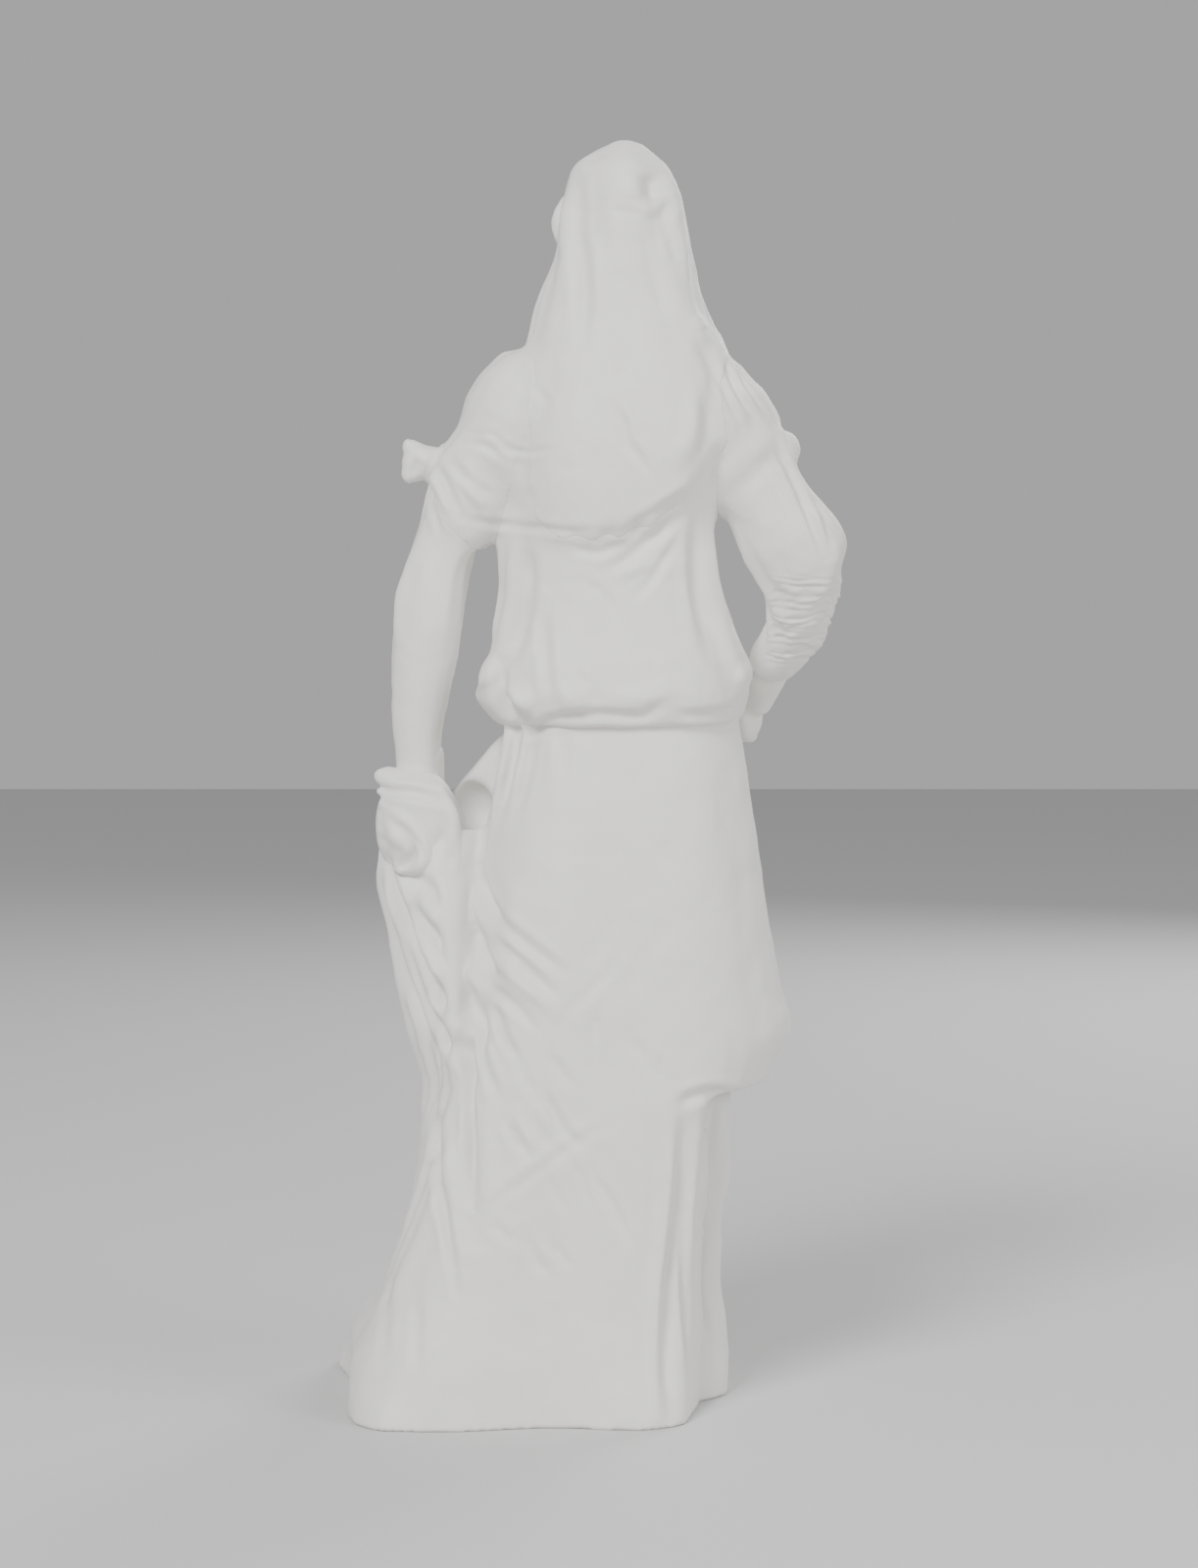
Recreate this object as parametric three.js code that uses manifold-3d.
// A standing veiled woman in a blouse, a lifted overskirt and a long gown: a devotional figure
// 250 mm tall, printed in sections that are pinned and glued where one garment meets the next.
// Millimetres, +Z up. She faces -Y, so +X is her left side and +Y is her back.

import * as THREE from "three";
import { LoftGeometry } from "three/addons/geometries/LoftGeometry.js";
import { mergeVertices } from "three/addons/utils/BufferGeometryUtils.js";
import Module from "manifold-3d";

const wasm = await Module();
wasm.setup();

// ---------------------------------------------------------------- driving dimensions

const GAP = 0.3; // air between two pieces that meet
const HEAD_CENTRE = new THREE.Vector3(-4.9, -1.5, 234);
const HEAD_TURN = 14; // degrees, towards her left shoulder
const HEAD_BOW = 7; // degrees, chin down
const PIN_SIDES = 8;
const COLLAR_TOP = 210;
const VEIL_FRONT_HEM = 187;
const SIDE_HEM = 62.5; // where the overskirt's short side ends, above her right foot
const WHITE_PLASTIC = 0xe9e6e1;

// ---------------------------------------------------------------- shape helpers

const { degToRad, lerp, clamp } = THREE.MathUtils;

/** The value at `at` of a smooth curve through values[i] at positions[i], which rise. */
function through(positions, values, at) {
  const last = positions.length - 1;
  if (at <= positions[0]) return values[0];
  if (at >= positions[last]) return values[last];
  let i = 0;
  while (positions[i + 1] < at) i += 1;
  const slope = (a, b) => (values[b] - values[a]) / (positions[b] - positions[a]);
  const span = positions[i + 1] - positions[i];
  const tangentIn = slope(Math.max(i - 1, 0), i + 1) * span;
  const tangentOut = slope(i, Math.min(i + 2, last)) * span;
  const t = (at - positions[i]) / span;
  const t2 = t * t;
  const t3 = t2 * t;
  return (
    (2 * t3 - 3 * t2 + 1) * values[i] +
    (t3 - 2 * t2 + t) * tangentIn +
    (3 * t2 - 2 * t3) * values[i + 1] +
    (t3 - t2) * tangentOut
  );
}

/** The same for a ring of evenly spaced values; turn is 0 to 1 round the ring. */
function around(values, turn) {
  const n = values.length;
  const place = turn * n;
  const i = Math.floor(place);
  const t = place - i;
  const [a, b, c, d] = [-1, 0, 1, 2].map((k) => values[(i + k + n) % n]);
  return 0.5 * (2 * b + (c - a) * t + (2 * a - 5 * b + 4 * c - d) * t * t +
    (3 * b - a - 3 * c + d) * t * t * t);
}

/** A closed geometry as a solid that can be joined and cut. */
function solid(geometry) {
  const bare = new THREE.BufferGeometry();
  bare.setAttribute("position", geometry.getAttribute("position"));
  bare.setIndex(geometry.index);
  const merged = mergeVertices(bare, 1e-4);
  const mesh = new wasm.Mesh({
    numProp: 3,
    vertProperties: merged.attributes.position.array,
    triVerts: new Uint32Array(merged.index.array),
  });
  return new wasm.Manifold(mesh);
}

/**
 * A garment as a stack of outlines. A station is [height, centre x, centre y, reaches]: how far
 * the cloth reaches from the centre in eight directions, from +X round through +Y. The fold
 * function adds to the reach at an angle and a height.
 */
function drape(stations, { columns, rows, grow = 0, fold = () => 0, from, to }) {
  const heights = stations.map((s) => s[0]);
  const low = (from ?? heights[0]) - grow;
  const high = (to ?? heights.at(-1)) + grow;
  const value = (pick, z) => through(heights, stations.map(pick), z);
  const sections = [];
  for (let row = 0; row <= rows; row += 1) {
    const z = lerp(low, high, row / rows);
    const x = value((s) => s[1], z);
    const y = value((s) => s[2], z);
    const reaches = stations[0][3].map((_, k) => value((s) => s[3][k], z));
    const section = [];
    for (let column = 0; column < columns; column += 1) {
      const turn = column / columns;
      const angle = turn * 2 * Math.PI;
      const reach = around(reaches, turn) + fold(angle, z) + grow;
      section.push(new THREE.Vector3(x + reach * Math.cos(angle), y + reach * Math.sin(angle), z));
    }
    sections.push(section);
  }
  return solid(new LoftGeometry(sections, { capStart: true, capEnd: true }));
}

/** A limb, finger or roll of cloth: a round tube through [x, y, z, radius] stations, ends domed. */
function limb(stations, { columns = 8, rows = 5, grow = 0, matrix } = {}) {
  const curve = new THREE.CatmullRomCurve3(stations.map((s) => new THREE.Vector3(...s)));
  const frames = curve.computeFrenetFrames(rows);
  const places = stations.map((_, i) => i / (stations.length - 1));
  const radii = stations.map((s) => s[3]);
  const ring = (row, along, share) => {
    const place = curve.getUtoTmapping(row / rows);
    const radius = through(places, radii, place) + grow;
    const centre = curve.getPoint(place).addScaledVector(frames.tangents[row], along * radius);
    return Array.from({ length: columns }, (_, column) => {
      const angle = (column / columns) * 2 * Math.PI;
      return centre.clone()
        .addScaledVector(frames.normals[row], Math.cos(angle) * radius * share)
        .addScaledVector(frames.binormals[row], Math.sin(angle) * radius * share);
    });
  };
  const dome = [65, 30].map((tilt) => [Math.sin(degToRad(tilt)), Math.cos(degToRad(tilt))]);
  const sections = dome.map(([along, share]) => ring(0, -along, share));
  for (let row = 0; row <= rows; row += 1) sections.push(ring(row, 0, 1));
  dome.reverse().forEach(([along, share]) => sections.push(ring(rows, along, share)));
  const geometry = new LoftGeometry(sections, { capStart: true, capEnd: true });
  return solid(matrix ? geometry.applyMatrix4(matrix) : geometry);
}

/** An ellipsoid at [x, y, z] with half-sizes [x, y, z], turned by degrees about x, y, z. */
function blob(centre, half, { turn = [0, 0, 0], columns = 10, rows = 7, grow = 0, matrix } = {}) {
  const geometry = new THREE.SphereGeometry(1, columns, rows).rotateX(Math.PI / 2);
  geometry.scale(...half.map((h) => h + grow));
  const placed = new THREE.Matrix4().makeRotationFromEuler(new THREE.Euler(...turn.map(degToRad)));
  geometry.applyMatrix4(placed.setPosition(...centre));
  return solid(matrix ? geometry.applyMatrix4(matrix) : geometry);
}

/** A pin or its hole between two points. */
function rod(start, end, radius, { grow = 0 } = {}) {
  const a = new THREE.Vector3(...start);
  const b = new THREE.Vector3(...end);
  const along = b.clone().sub(a);
  const length = along.length() + 2 * grow;
  const geometry = new THREE.CylinderGeometry(radius + grow, radius + grow, length, PIN_SIDES);
  const turn = new THREE.Quaternion().setFromUnitVectors(
    new THREE.Vector3(0, 1, 0),
    along.normalize(),
  );
  geometry.applyQuaternion(turn);
  const middle = a.add(b).multiplyScalar(0.5);
  return solid(geometry.translate(middle.x, middle.y, middle.z));
}

/** A flat outline of [x, z] points, pushed along Y from near to far, then turned about +Z. */
function slab(outline, near, far, turn = 0) {
  const shape = new THREE.Shape(outline.map(([x, z]) => new THREE.Vector2(x, z)));
  const geometry = new THREE.ExtrudeGeometry(shape, { depth: far - near, bevelEnabled: false });
  geometry.rotateX(Math.PI / 2).translate(0, far, 0);
  return solid(geometry.rotateZ(degToRad(turn)));
}

const joined = (...solids) => solids.reduce((a, b) => a.add(b));
const cut = (body, ...tools) => tools.reduce((a, b) => a.subtract(b), body);

// ---------------------------------------------------------------- the garments' outlines

// Heights, then the centre, then the reach towards
// her left, left back, back, right back, right, right front, front and left front.

const GOWN = [
  [0, 7, -6, [34, 31, 26, 31, 33, 30, 27, 33]],
  [20, 5, -5, [31, 28, 24, 28, 30.5, 28, 25, 30]],
  [42, 2, -4, [27, 25, 22, 26, 28, 26, 23, 26]],
  [64, -1, -3, [24, 23, 20, 24, 26, 24, 21, 23]],
  [92, -3, -2, [21, 20, 18, 21, 24, 21, 18.5, 20]],
  [120, -4, -1, [18.5, 17, 15, 17, 20, 17, 15, 17]],
  [150, -4, 0, [16, 14, 12, 14, 16.5, 14, 12, 14]],
];

const OVERSKIRT = [
  [0, 12, 0, [38, 47.5, 34, 42, 36, 44, 35, 52]],
  [7, 12, 0, [38.6, 46, 33.4, 40, 36, 43, 34.6, 51]],
  [16, 11, 0, [34.6, 41, 31.6, 37, 36, 41.5, 33, 44]],
  [33, 8, 0, [30.8, 37, 29.4, 34, 36, 38, 30.5, 36.5]],
  [50, 4, 0, [30.8, 34.5, 27.7, 32, 35, 35, 28.5, 33]],
  [SIDE_HEM, 1, 0, [33, 33, 26.3, 32, 34.6, 33.5, 27.5, 31.5]],
  [69, 0, 0, [33.5, 32, 25.7, 31.5, 37.4, 33, 27, 31]],
  [95, -1.5, 0, [28.5, 28.5, 23.5, 28.5, 32.7, 29, 24.5, 28]],
  [117, -3, 0, [25, 25, 21.2, 25, 28.2, 26, 22.5, 25]],
  [134, -4, 0, [22.6, 21.2, 18.2, 21.4, 24.4, 22, 19.2, 21.5]],
  [146, -4, 0, [19, 17.6, 15.2, 17.8, 20, 18, 15.8, 18]],
];

// The cloth that hangs from her left hand and fans out into the overskirt.
const SIDE_FALL = [
  [50, 17, -3, [16.6, 20, 22, 17, 15, 17, 20, 20]],
  [66, 19.5, -3, [17, 19, 20, 16, 15, 16, 18, 18.4]],
  [82, 24, -2.5, [16.2, 16.2, 16, 15, 16, 15, 15.5, 16.2]],
  [97, 29, -2, [13.8, 13, 12, 13, 16, 13.5, 12.5, 13.4]],
  [108, 32, -1.5, [12.4, 11.2, 10, 11, 14, 12, 11, 11.8]],
  [114, 32.5, -1, [11.4, 10.3, 9, 10, 12.5, 11, 10, 10.6]],
];

const BLOUSE = [
  [134.2, -3.8, 0, [23.2, 22.6, 20, 22.8, 24.2, 22.6, 20.6, 22.6]],
  [136.5, -3.6, 0, [26.4, 25, 21.3, 24.8, 25.4, 24.6, 22.2, 24.6]],
  [142.5, -3.2, 0, [27.7, 25.4, 21.8, 25.4, 27.1, 25.2, 22.4, 24.8]],
  [151, -3.4, 0, [25, 22.8, 19.4, 23, 24.8, 22.6, 19.6, 22.4]],
  [163, -3.4, 0, [24, 21, 17.6, 21, 21.8, 20, 17, 20.4]],
  [175, -3.4, 0, [23.4, 21, 17.2, 20.6, 19.2, 20.2, 18.8, 21]],
  [184, -3.4, 0, [24, 21.2, 17, 21.4, 20.6, 22, 20.6, 22.4]],
  [194, -4, 0, [24, 20.6, 16.4, 21.6, 23.6, 20.4, 16.4, 19.6]],
  [201, -4.4, 0.5, [19.6, 16.4, 13.6, 17, 19.4, 15.2, 11.6, 14.8]],
  [206, -4.6, 1, [13.4, 11.8, 10.4, 12.4, 14, 10.6, 8.8, 10.6]],
  [COLLAR_TOP, -4.8, 1, [8, 8, 7.6, 8, 8, 7.4, 7.2, 7.4]],
];

const VEIL = [
  [166, -5, 0, [18.6, 21.4, 19.8, 22, 18.6, 21, 20, 21]],
  [178, -5, 0, [19.6, 22.8, 20.8, 23.4, 19.4, 22.6, 21.6, 22.4]],
  [188, -5, 0, [20.4, 23, 20.8, 23.8, 20.6, 24, 23, 23.4]],
  [198, -5, 0, [21, 21.6, 19.4, 22.6, 21.4, 21.8, 19.2, 20.8]],
  [205, -5, 0, [20.2, 19.8, 17.8, 20.6, 20.6, 18, 15.4, 17.6]],
  [211, -5, 0, [18.5, 17.8, 16, 18.4, 18.8, 15.4, 13.2, 15.4]],
  [219, -5, 0, [16.7, 15.8, 14.4, 15.8, 15.4, 13.8, 12.6, 14.4]],
  [228, -5, 0, [13.5, 14, 14, 14.4, 13.4, 12.8, 12.4, 12.8]],
  [236, -4.8, 0, [12.5, 13, 13.4, 13.4, 12.2, 12, 12.2, 12]],
  [242, -4.8, 0, [11, 11.4, 11.8, 11.8, 10.8, 10.4, 11, 10.8]],
  [246.5, -4.9, 0, [8.8, 9, 9.2, 9.2, 8.8, 8.2, 8.8, 8.6]],
  [248.8, -5.2, 0, [6.4, 6.4, 6.6, 6.6, 6.2, 6, 6.4, 6.2]],
  [250, -5.6, 0, [3.2, 3.2, 3.2, 3.2, 3.2, 3.2, 3.2, 3.2]],
];

// ---------------------------------------------------------------- the garments

/** Soft upright pleats, deepest at the floor and gone at the waist. */
const gownPleats = (angle, z) => 1.1 * clamp((110 - z) / 80, 0, 1) * Math.cos(11 * angle);

const gownForm = (grow = 0) =>
  drape(GOWN, { columns: 44, rows: 5, grow, fold: gownPleats });

/** Long shallow folds that run from the left hand round her back and her front. */
function overskirtFolds(angle, z) {
  const low = clamp((100 - z) / 70, 0, 1);
  const frontWeight = 0.5 - 0.5 * Math.sin(angle);
  return frontWeight * 0.9 * low * Math.cos(9 * angle + z * 0.05);
}

const overskirtForm = ({ grow = 0, columns = 36, rows = 14, from, to } = {}) =>
  drape(OVERSKIRT, { columns, rows, grow, from, to, fold: overskirtFolds });

/** The lifted front edge of the overskirt, from her left hip to her left hand. */
function swag() {
  const outline = [[12, 133], [19.4, 132.6], [29.6, 120.8], [33, 112], [30, 100], [10, 100]];
  return slab(outline, -15.5, -7.5);
}

const pocket = () => joined(
  blob([24.6, -1, 118], [4.7, 6, 10]),
  blob([22.5, -2, 126], [4.5, 5.5, 9]),
);

/** What is cut away under the overskirt's hem: at her right back, then across her front. */
function belowHem() {
  const rightSide = [[-90, -5], [-90, SIDE_HEM], [-24.4, SIDE_HEM], [-23.4, 50], [-21.4, -5]];
  const front = [[-70, -5], [-70, SIDE_HEM], [-20, SIDE_HEM], [0, 56], [20, 40], [38, 17], [45, -5]];
  return joined(slab(rightSide, -80, 80, -11), slab(front, -80, -5));
}

/** The hollow under the bell of the overskirt's short side. */
function bellHollow() {
  const bell = overskirtForm({ grow: -3.6, columns: 20, rows: 2, from: 52, to: 80 });
  return bell.intersect(slab([[-70, 40], [-70, 76], [-16, 76], [-16, 40]], -80, 80));
}

const blouseForm = (grow = 0) => drape(BLOUSE, { columns: 28, rows: 13, grow });

const veilForm = () => drape(VEIL, { columns: 28, rows: 15 });

// ---------------------------------------------------------------- the head

const headMatrix = new THREE.Matrix4()
  .makeRotationFromEuler(new THREE.Euler(degToRad(HEAD_BOW), 0, degToRad(HEAD_TURN), "ZYX"))
  .setPosition(HEAD_CENTRE);

const neckForm = (grow = 0) =>
  limb([[-4.6, 1.2, 205, 6.8], [-4.9, 0.4, 212, 6], [-5.4, -0.8, 224, 6.2]], {
    columns: 12,
    rows: 3,
    grow,
  });

/** Skull, cheeks, jaw, chin, nose and lips, in the head's own frame with its middle at zero. */
function headForm(grow = 0) {
  const own = { matrix: headMatrix, grow };
  return joined(
    blob([0, 0.8, 3.2], [8.6, 9.8, 8.8], { ...own, columns: 14, rows: 10 }),
    blob([0, -4.2, -3], [7.2, 6.8, 10.8], { ...own, columns: 14, rows: 10 }),
    blob([0, -7.4, -12.4], [3.6, 3.2, 3.4], own),
    limb([[0, -10.4, 1, 0.9], [0, -12, -3.4, 1.2], [0, -11.4, -4.2, 1.5]], { ...own, rows: 4 }),
    blob([0, -10.2, -7.6], [2.8, 1.6, 1.2], { ...own, columns: 8, rows: 6 }),
    neckForm(grow),
  );
}

/** The room inside the veil for the head, the hair and the neck. */
const hoodHollow = () => joined(
  blob([0, 0.6, 2], [11, 12.6, 12.6], { matrix: headMatrix, columns: 16, rows: 10 }),
  blob([0, -3, -7], [10.2, 10, 9.6], { matrix: headMatrix, columns: 12, rows: 8 }),
  neckForm(GAP),
);

/** A wave of hair that has slipped out past the veil's edge, on her left. */
const looseLock = (grow = 0) => limb(
  [[5, -8.4, 4.6, 1.5], [9, -8.2, 2.6, 1.9], [10.2, -7, -0.6, 1.8], [9.2, -4.8, -3.6, 1.3]],
  { matrix: headMatrix, grow },
);

/** Hair parted over the forehead and drawn back past the ears under the veil. */
function hairForm(grow = 0) {
  const own = { matrix: headMatrix, grow };
  const lock = (side) => limb([
    [0, -7.8, 9.2, 1.6], [5 * side, -6.8, 7.2, 2], [7.4 * side, -4.6, 1.4, 2], [7.4 * side, -1.8, -4.4, 1.6],
  ], own);
  const cap = blob([0, 1.2, 3.6], [9.8, 11, 10], { ...own, columns: 16, rows: 10 });
  return joined(cap, lock(1), lock(-1), looseLock(grow));
}

// ---------------------------------------------------------------- arms, sleeves and hands

const LEFT_ARM = [
  [23.6, 0, 188, 6.4], [28, 0.4, 178, 6.8], [30.8, 0.8, 171, 6.9], [32.8, 1, 165, 6.7],
  [33.9, 1.2, 156, 6.9], [34.5, 0.8, 149, 6.5], [35.4, 0, 140, 5.6], [35.6, -1, 130, 5.1],
  [35.7, -1.8, 122, 4.8],
];
const leftArmForm = (grow = 0) => limb(LEFT_ARM, { columns: 12, rows: 9, grow });

const LEFT_SLEEVE = [
  [13, 0.4, 196.8, 12.8], [16, 0.4, 192.2, 12.8], [22.2, 0.6, 183.6, 10.6], [26.4, 0.9, 177, 8.6],
];
const leftSleeveForm = (grow = 0) => limb(LEFT_SLEEVE, { columns: 16, rows: 5, grow });
const leftSleeveEnd = () => blob([35, 1.4, 164], [12, 14, 11]);

const leftKnotForm = (grow = 0) => joined(
  limb([[29, 0.6, 185.8, 3.6], [35.6, 0.6, 187.2, 3.2]], { rows: 3, grow }),
  limb([[33.5, 0.6, 187.6, 2], [37.4, 0.6, 190, 1.5]], { columns: 7, rows: 2, grow }),
  limb([[33.5, 0.6, 186, 2.4], [37, 0.6, 184.8, 1.8]], { columns: 7, rows: 2, grow }),
);

const RIGHT_SLEEVE = [
  [-22.2, 0.4, 195.4, 12.9], [-27, 0.8, 187, 10.6], [-33.4, 1.6, 177.6, 9.3],
  [-38.8, 1.4, 169, 10.5], [-40.4, -1, 160, 8], [-39.2, -5, 152.4, 6.5], [-35.4, -9.4, 147.4, 5.2],
];
const rightSleeveForm = (grow = 0) => limb(RIGHT_SLEEVE, { columns: 16, rows: 12, grow });

const rightKnotForm = (grow = 0) =>
  blob([-36.8, 1.6, 189.4], [3.2, 3.4, 3.6], { grow });

/** A finger through its joints, with the radius at the knuckle and at the tip. */
const finger = (joints, knuckle, tip, grow = 0) => limb(
  joints.map((p, i) => [...p, lerp(knuckle, tip, i / (joints.length - 1))]),
  { columns: 6, rows: 3, grow },
);

/** Her right hand rests on her hip with the fingers forward. */
function rightHandForm(grow = 0) {
  return joined(
    limb([[-37.6, -6, 151, 3.6], [-33.8, -13, 142.6, 3.4], [-32.2, -16.6, 138.4, 3.1]],
      { rows: 4, grow }),
    blob([-30.6, -19.4, 135.6], [2.8, 4.8, 4.6], { turn: [-38, 0, -22], grow }),
    finger([[-30.4, -21, 138.4], [-27, -25, 137.8], [-22.4, -27.4, 136.6]], 1.5, 1.1, grow),
    finger([[-30, -22, 136.2], [-26.2, -26.2, 135], [-21.2, -28, 133.8]], 1.6, 1.1, grow),
    finger([[-30, -22, 133.8], [-26.2, -26, 132.2], [-21.6, -27.8, 131]], 1.5, 1.1, grow),
    finger([[-30.4, -21.4, 131.8], [-27.2, -25, 129.8], [-23.6, -26.6, 128.6]], 1.35, 1, grow),
    finger([[-32.6, -17, 139], [-30, -19.4, 142.2], [-27, -22, 143.6]], 1.6, 1.2, grow),
  );
}

/** Her left hand, closed on a bunch of the overskirt. */
function leftHandForm(grow = 0) {
  return joined(
    limb([[36, -2.6, 119.4, 3.5], [36, -4, 115.6, 3.6]], { rows: 2, grow }),
    blob([36, -5.4, 112], [4.6, 3.4, 5.2], { grow }),
    ...[-3.3, -1.1, 1.1, 3.3].map((side, i) => finger(
      [[36 + side, -7, 110.8 - 0.5 * i], [36 + side * 1.05, -11, 108.6 - 0.5 * i],
        [36 + side * 0.95, -11.4, 104.6 - 0.4 * i]], 1.5, 1.15, grow)),
    finger([[32.6, -6.4, 114.6], [30.6, -9.6, 112.2], [31.4, -12.2, 109]], 1.6, 1.2, grow),
  );
}

/** The bunch of cloth that her left hand holds, seen from behind as a soft bag over the fist. */
const bunchForm = (grow = 0) => joined(
  blob([36.2, 1.8, 115.2], [8.4, 7.8, 10.6], { columns: 16, rows: 11, grow }),
  limb([[42.2, 1.4, 124, 2.4], [37, 4.6, 122.6, 2.3], [31.4, 2.4, 120.2, 2]],
    { columns: 8, rows: 4, grow }),
);

const footForm = (x, turn, grow = 0) => {
  const matrix = new THREE.Matrix4().makeRotationZ(degToRad(turn)).setPosition(x, -26, 0);
  const toes = [-3.1, -1.4, 0.2, 1.7, 3].map((side, i) => blob(
    [side, -9.6 + 0.5 * i, 1.7], [0.95 - 0.05 * i, 1.9, 1.35], { columns: 6, rows: 4, grow, matrix }));
  return joined(blob([0, -3, 2.2], [4.2, 8, 3.6], { columns: 12, rows: 7, grow, matrix }), ...toes);
};

const aboveFloor = () => slab([[-90, 0], [-90, 300], [90, 300], [90, 0]], -90, 90);

// ---------------------------------------------------------------- pins

const PINS = {
  waist_pin: [[-4, 0, 140], [-4, 0, 166], 3],
  neck_pin: [[-4.7, 1, 195], [-4.8, 0.6, 214], 2.2],
  left_shoulder_pin: [[8, 0.4, 192], [20, 0.4, 188.6], 2.4],
  right_shoulder_pin: [[-15, 0.4, 192], [-28, 0.8, 187.6], 2.4],
  left_wrist_pin: [[35.9, -1.4, 125], [36, -4, 114], 1.4],
  veil_pin: [[-4.6, 8, 190], [-4.6, 17.8, 190], 1.6],
};
const pin = (name) => rod(PINS[name][0], PINS[name][1], PINS[name][2]);
const holes = (...names) => names.map((name) => {
  const [start, end, radius] = PINS[name];
  return rod(start, end, radius, { grow: GAP });
});

// ---------------------------------------------------------------- the pieces

const LEFT_FOOT = [15.2, 8];
const RIGHT_FOOT = [-10.6, -9];

function makeGown() {
  const feet = [footForm(...LEFT_FOOT, GAP), footForm(...RIGHT_FOOT, GAP)];
  return cut(gownForm(), ...feet, ...holes("waist_pin"));
}

function makeOverskirt() {
  const cloth = joined(overskirtForm(), drape(SIDE_FALL, { columns: 18, rows: 6 }), swag());
  return cut(
    cloth, gownForm(GAP), pocket(), belowHem(), bellHollow(),
    bunchForm(GAP), leftHandForm(GAP), leftArmForm(GAP), rightHandForm(GAP),
  );
}

function makeBlouse() {
  return cut(
    blouseForm(), gownForm(GAP), overskirtForm({ grow: GAP }),
    neckForm(GAP), rightHandForm(GAP), leftArmForm(GAP),
    ...holes("waist_pin", "neck_pin", "veil_pin"),
    ...holes("left_shoulder_pin", "right_shoulder_pin"),
  );
}

function makeVeil() {
  const faceOpening = blob([0, -14, -2.5], [8.6, 15, 14.6], { matrix: headMatrix, columns: 18, rows: 10 });
  const throat = slab(
    [[-13.6, 222], [-14.6, 208], [-19, VEIL_FRONT_HEM - 3], [10, VEIL_FRONT_HEM - 3], [4.6, 208],
      [3.6, 222]], -60, -1);
  const belowFrontHem = slab(
    [[-60, 150], [-60, VEIL_FRONT_HEM], [60, VEIL_FRONT_HEM], [60, 150]], -60, 1);
  return cut(
    veilForm(), hoodHollow(), looseLock(GAP), blouseForm(GAP),
    leftSleeveForm(GAP), rightSleeveForm(GAP), faceOpening, throat, belowFrontHem,
    ...holes("veil_pin"),
  );
}

function makeLeftSleeve() {
  return cut(
    leftSleeveForm(), blouseForm(GAP), leftArmForm(GAP),
    leftSleeveEnd(), leftKnotForm(GAP), ...holes("left_shoulder_pin"),
  );
}

function makeRightSleeve() {
  return cut(
    rightSleeveForm(), blouseForm(GAP), rightKnotForm(GAP),
    rightHandForm(GAP), ...holes("right_shoulder_pin"),
  );
}

const PIECES = {
  gown: makeGown,
  overskirt: makeOverskirt,
  blouse: makeBlouse,
  head: () => cut(headForm(), ...holes("neck_pin")),
  hair: () => cut(hairForm(), headForm(GAP), blouseForm(GAP)),
  veil: makeVeil,
  left_sleeve: makeLeftSleeve,
  left_sleeve_knot: () => cut(leftKnotForm(), leftArmForm(GAP)),
  left_arm: () => cut(
    leftArmForm(), leftHandForm(GAP), ...holes("left_wrist_pin", "left_shoulder_pin"),
  ),
  left_hand: () => cut(leftHandForm(), ...holes("left_wrist_pin")),
  gathered_cloth: () => cut(bunchForm(), leftArmForm(GAP), leftHandForm(GAP)),
  right_sleeve: makeRightSleeve,
  right_sleeve_knot: rightKnotForm,
  right_hand: rightHandForm,
  left_foot: () => footForm(...LEFT_FOOT).intersect(aboveFloor()),
  right_foot: () => footForm(...RIGHT_FOOT).intersect(aboveFloor()),
};

// ---------------------------------------------------------------- materials and the scene graph

const whitePlastic = () =>
  new THREE.MeshStandardMaterial({ color: WHITE_PLASTIC, roughness: 0.85, metalness: 0 });

/** A solid's vertices and triangles as a named three.js mesh. */
function meshOf(name, body) {
  const { vertProperties, triVerts, numProp } = body.getMesh();
  const positions = new Float32Array((vertProperties.length / numProp) * 3);
  for (let i = 0; i < positions.length / 3; i += 1) {
    positions.set(vertProperties.subarray(i * numProp, i * numProp + 3), i * 3);
  }
  const geometry = new THREE.BufferGeometry();
  geometry.setAttribute("position", new THREE.BufferAttribute(positions, 3));
  geometry.setIndex(new THREE.BufferAttribute(new Uint32Array(triVerts), 1));
  geometry.computeVertexNormals();
  const mesh = new THREE.Mesh(geometry, whitePlastic());
  mesh.name = name;
  return mesh;
}

const figure = new THREE.Group();
for (const [name, make] of Object.entries(PIECES)) figure.add(meshOf(name, make()));
for (const name of Object.keys(PINS)) figure.add(meshOf(name, pin(name)));

// The origin is the middle of the figure's box, on the floor.
const box = new THREE.Box3().setFromObject(figure);
const middle = box.getCenter(new THREE.Vector3());
figure.position.set(-middle.x, -middle.y, -box.min.z);

export default new THREE.Group().add(figure);
